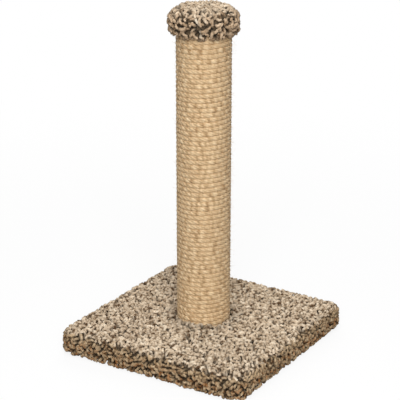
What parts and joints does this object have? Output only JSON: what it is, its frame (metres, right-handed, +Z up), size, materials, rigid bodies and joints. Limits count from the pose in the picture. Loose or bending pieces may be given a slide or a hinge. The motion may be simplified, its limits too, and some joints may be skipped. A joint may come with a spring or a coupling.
{
  "type": "cat scratching post",
  "caption": "Free-standing cat scratching post: a round post wound with sisal rope on a square base covered in mottled deep-pile carpet, with a cap of the same carpet.",
  "frame": {"origin": "the middle of the base's footprint, at the level of the floor under the folded carpet", "axes": "+Z up along the post; +X and +Y along the sides of the square base, with the base's front corner between +X and -Y"},
  "size_m": [0.399, 0.399, 0.66],
  "materials": {
    "carpet": "deep twisted pile, mottled cream, beige, grey-brown and dark brown, matt",
    "sisal": "natural three-strand sisal rope, undyed, hairy and matt",
    "particle_board": "raw particle board",
    "paperboard": "spirally wound grey-brown paperboard, uncoated",
    "plug_wood": "raw softwood, sawn",
    "plated_steel": "bright zinc plate",
    "staple_steel": "galvanised wire"
  },
  "bodies": {
    "root": {"base_board": "particle_board", "base_carpet": "carpet", "base_carpet_staples": "staple_steel", "post_tube": "paperboard", "bottom_plug": "plug_wood", "bottom_plug_staples": "staple_steel", "top_plug": "plug_wood", "top_plug_staples": "staple_steel", "tee_nut": "plated_steel", "bolt_washer": "plated_steel", "post_bolt": "plated_steel", "sisal_rope": "sisal", "rope_end_staples": "staple_steel", "cap_disc_carpet": "carpet", "cap_disc_staples": "staple_steel", "cap_strip_carpet": "carpet", "cap_strip_staples": "staple_steel"}
  },
  "joints": []
}
